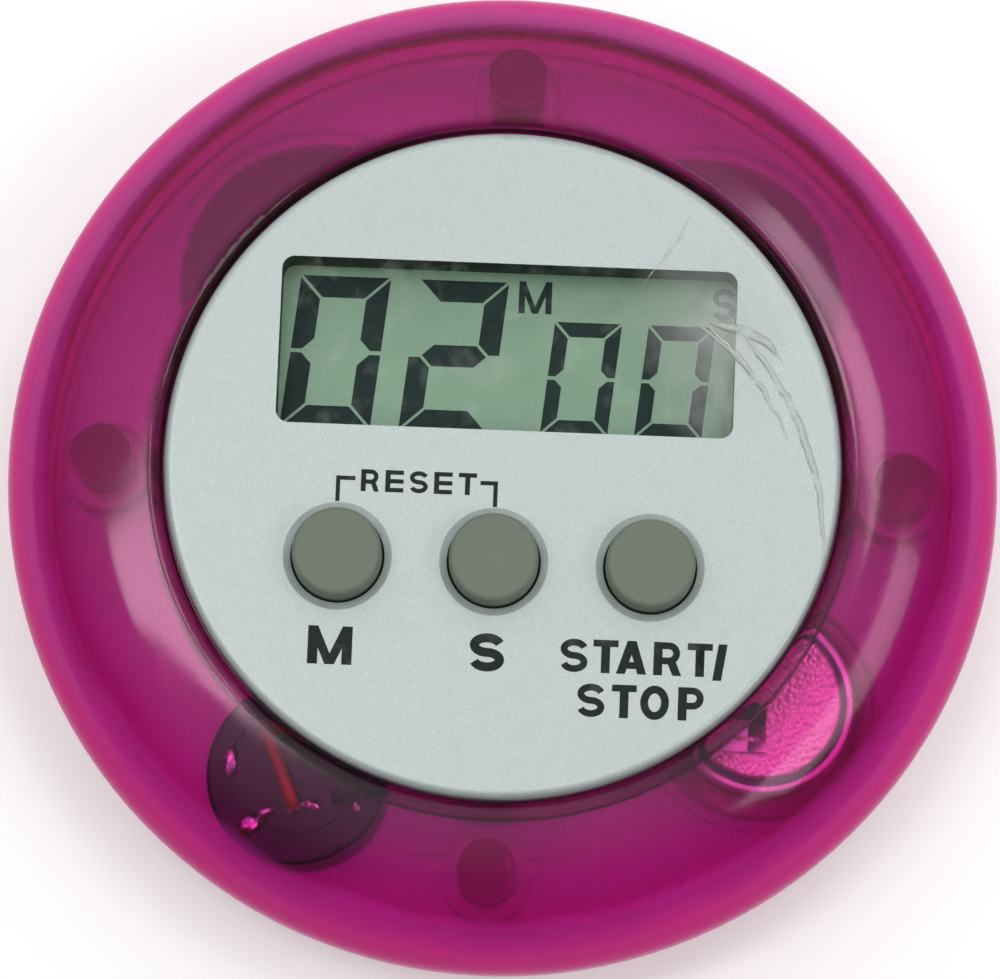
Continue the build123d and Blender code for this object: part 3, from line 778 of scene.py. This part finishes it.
def add_buzzer_solder():
    """The solder that holds the buzzer's cap and wires."""
    foot_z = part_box("buzzer_cap")[1].z / MM + 0.02
    dark, light = (0.70, 0.68, 0.66), (0.92, 0.90, 0.88)
    solder = metal("solder", dark, light, (0.15, 0.35), grain=0.3 * MM, depth=0.02 * MM)
    mesh = blob_mesh("buzzer_solder", SOLDER_BLOBS, foot_z)
    add_piece("buzzer_solder", mesh, solder, "contact_metal")


add_buzzer_solder()


# ---------------------------------------------------------------- protective film
CREASE_SEED = 5
CREASE_WANDER = 0.07       # mm, how far a crease strays from its route
CREASE_FOOT = 0.085        # mm, just above the film's top
# Where the points across a ridge lie, and how high, as shares of its half width and its height.
RIDGE_PROFILE = ((-1.0, 0.0), (-0.5, 0.75), (0.0, 1.0), (0.5, 0.75), (1.0, 0.0))
# Each crease's route, width and height, in mm.
CREASES = {
    "outer": (arc((-2.4, -5.2), (22.3, 21.2), 46, -2, 40), 0.5, 0.16),
    "middle": (arc((-1.6, -4.4), (20.4, 18.4), 50, 20, 26), 0.36, 0.10),
    "inner": (arc((4.0, -2.0), (14.0, 13.2), 62, 30, 20), 0.20, 0.08),
    "corner": ([(12.2, 9.3), (13.4, 9.0), (14.6, 8.8), (16.0, 8.1), (17.0, 7.0)], 0.7, 0.16),
    "upper": ([(11.0, 16.0), (10.4, 14.6), (9.5, 13.2), (8.6, 12.0), (8.1, 11.1)], 0.16, 0.06),
}
FILM_LIFT = 0.02 * MM


def ridge(route, width, height):
    """A low rounded ridge along points in mm, which tapers away at both ends."""
    edges = ribbon(route, width)
    last = len(edges) - 1
    build = bmesh.new()
    rows = []
    for step, (left, right) in enumerate(edges):
        taper = math.sin(math.pi * (step + 0.15) / (last + 0.3))
        centre, half = (left + right) / 2, (left - right) / 2 * taper
        row = []
        for share, rise in RIDGE_PROFILE:
            point = (centre + half * share) * MM
            z = face_z + (CREASE_FOOT + height * rise * taper) * MM
            row.append(build.verts.new((point.x, point.y, z)))
        rows.append(row)
    for first, second in zip(rows, rows[1:]):
        for step in range(len(RIDGE_PROFILE) - 1):
            build.faces.new((first[step], second[step], second[step + 1], first[step + 1]))
        build.faces.new((first[0], first[-1], second[-1], second[0]))
    build.faces.new(rows[0])
    build.faces.new(list(reversed(rows[-1])))
    bmesh.ops.recalc_face_normals(build, faces=build.faces)
    return finished("ridge", build, smooth=True)


def add_film_creases():
    """Creases that a thumb has left in the film, down its right-hand side and across the display's corner."""
    draw = random.Random(CREASE_SEED)
    material = film_crease_highlight()
    for name, (route, width, height) in CREASES.items():
        wavy = []
        for x, y in route:
            stray_x = draw.uniform(-CREASE_WANDER, CREASE_WANDER)
            stray_y = draw.uniform(-CREASE_WANDER, CREASE_WANDER)
            wavy.append((x + stray_x, y + stray_y))
        add_piece(f"film_crease_highlight_{name}", ridge(wavy, width, height), material, "face_film")


def add_film():
    """The film as packed, but with its underside just clear of the paint."""
    mesh = nodes["face_film"].data.copy()
    low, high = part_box("face_film")
    for vertex in mesh.vertices:
        if vertex.co.z < (low.z + high.z) / 2:
            vertex.co.z += FILM_LIFT
    add_piece("protective_film", mesh, film_clear(), "face_film", "face_film")


add_film()
add_film_creases()


# ---------------------------------------------------------------- floor, lights and camera
FLOOR_REACH, FLOOR_DROP = 1.5, 0.05 * MM
FLOOR_GLOW = 0.28

WINDOW_DISTANCE = 0.8
WINDOW_COLOUR = (1.0, 0.99, 0.93)
# Each soft light's direction, its width and height in metres, its radiance and its roll in degrees.
WINDOWS = {
    "window_upper_right": ((0.255, 0.265, 0.93), 0.21, 0.16, 4.2, 0.0),
    "window_lower_right": ((0.64, -0.21, 0.74), 0.46, 0.24, 3.0, 0.0),
    "window_left": ((-0.335, 0.05, 0.94), 0.12, 0.42, 5.6, 23.0),
}

ROOM_BRIGHT_SIDE = (-0.08, 0.55, 0.83)
# Where the room's brightness starts and stops rising towards that side, and its colour there.
ROOM_RAMP = ((0.3, (0.18, 0.18, 0.185, 1)), (0.97, (0.92, 0.94, 0.95, 1)))

CAMERA_AZIMUTH, CAMERA_ELEVATION = math.radians(2.24), math.radians(79.9)
CAMERA_DISTANCE = 0.35
CAMERA_TARGET = (-0.14, -0.44, 6.05)     # mm
SENSOR_WIDTH = 36.0
FOCAL_WIDTHS = 5.5775                    # the lens's focal length, in sensor widths


def add_floor():
    """A white light table, which lifts the shadow around the timer."""
    mesh = bpy.data.meshes.new("floor")
    outline = [(x * FLOOR_REACH, y * FLOOR_REACH) for x, y in ((-1, -1), (1, -1), (1, 1), (-1, 1))]
    mesh.from_pydata([(x, y, -FLOOR_DROP) for x, y in outline], [], [(0, 1, 2, 3)])
    floor = bpy.data.objects.new("floor", mesh)
    bpy.context.scene.collection.objects.link(floor)
    paper = Material("floor_paper", Roughness=0.9)
    paper.colour(paper.mix(paper.noise(20 * MM), (0.90, 0.90, 0.90), (0.92, 0.92, 0.92)))
    paper.shader.inputs["Emission Color"].default_value = (1, 1, 1, 1)
    paper.shader.inputs["Emission Strength"].default_value = FLOOR_GLOW
    mesh.materials.append(paper.material)


def add_window(name, direction, width, height, radiance, roll):
    """A soft rectangular light that faces the timer."""
    light = bpy.data.lights.new(name, "AREA")
    light.shape = "RECTANGLE"
    light.size, light.size_y = width, height
    light.energy = radiance * math.pi * width * height
    light.color = WINDOW_COLOUR
    holder = bpy.data.objects.new(name, light)
    away = Vector(direction).normalized()
    holder.location = away * WINDOW_DISTANCE
    facing = away.to_track_quat("Z", "Y").to_matrix()
    holder.rotation_euler = (Matrix.Rotation(math.radians(roll), 3, away) @ facing).to_euler()
    bpy.context.scene.collection.objects.link(holder)


def add_world():
    """A pale room: brightest high up on the far side, dimmest low down on the near side."""
    world = bpy.data.worlds.new("room")
    bpy.context.scene.world = world
    world.use_nodes = True
    tree = world.node_tree
    place = tree.nodes.new("ShaderNodeTexCoord")
    toward = tree.nodes.new("ShaderNodeVectorMath")
    toward.operation = "DOT_PRODUCT"
    toward.inputs[1].default_value = ROOM_BRIGHT_SIDE
    tree.links.new(place.outputs["Generated"], toward.inputs[0])
    ramp = tree.nodes.new("ShaderNodeValToRGB")
    for stop, (position, colour) in zip(ramp.color_ramp.elements, ROOM_RAMP):
        stop.position = position
        stop.color = colour
    tree.links.new(toward.outputs["Value"], ramp.inputs["Fac"])
    tree.links.new(ramp.outputs["Color"], tree.nodes["Background"].inputs["Color"])


def add_camera():
    """Looks down at the timer, tilted a little towards its lower edge."""
    level = math.cos(CAMERA_ELEVATION)
    back = Vector((
        math.sin(CAMERA_AZIMUTH) * level,
        -math.cos(CAMERA_AZIMUTH) * level,
        math.sin(CAMERA_ELEVATION),
    ))
    camera = bpy.data.cameras.new("camera")
    camera.sensor_width = SENSOR_WIDTH
    camera.lens = SENSOR_WIDTH * FOCAL_WIDTHS
    camera.clip_start = 0.01
    holder = bpy.data.objects.new("camera", camera)
    holder.location = Vector(CAMERA_TARGET) * MM + back * CAMERA_DISTANCE
    right = Vector((math.cos(CAMERA_AZIMUTH), math.sin(CAMERA_AZIMUTH), 0.0))
    holder.rotation_euler = Matrix((right, back.cross(right), back)).transposed().to_euler()
    bpy.context.scene.collection.objects.link(holder)
    bpy.context.scene.camera = holder


def set_render_quality():
    """Plain colours, and enough bounces for light to pass through both shells and back."""
    scene = bpy.context.scene
    scene.view_settings.view_transform = "Standard"
    cycles = scene.cycles
    cycles.max_bounces = 24
    cycles.diffuse_bounces = 6
    cycles.glossy_bounces = 8
    cycles.transmission_bounces = 20
    cycles.transparent_max_bounces = 16
    cycles.blur_glossy = 0.5
    cycles.use_denoising = True


add_floor()
add_world()
for window_name, settings in WINDOWS.items():
    add_window(window_name, *settings)
add_camera()
set_render_quality()
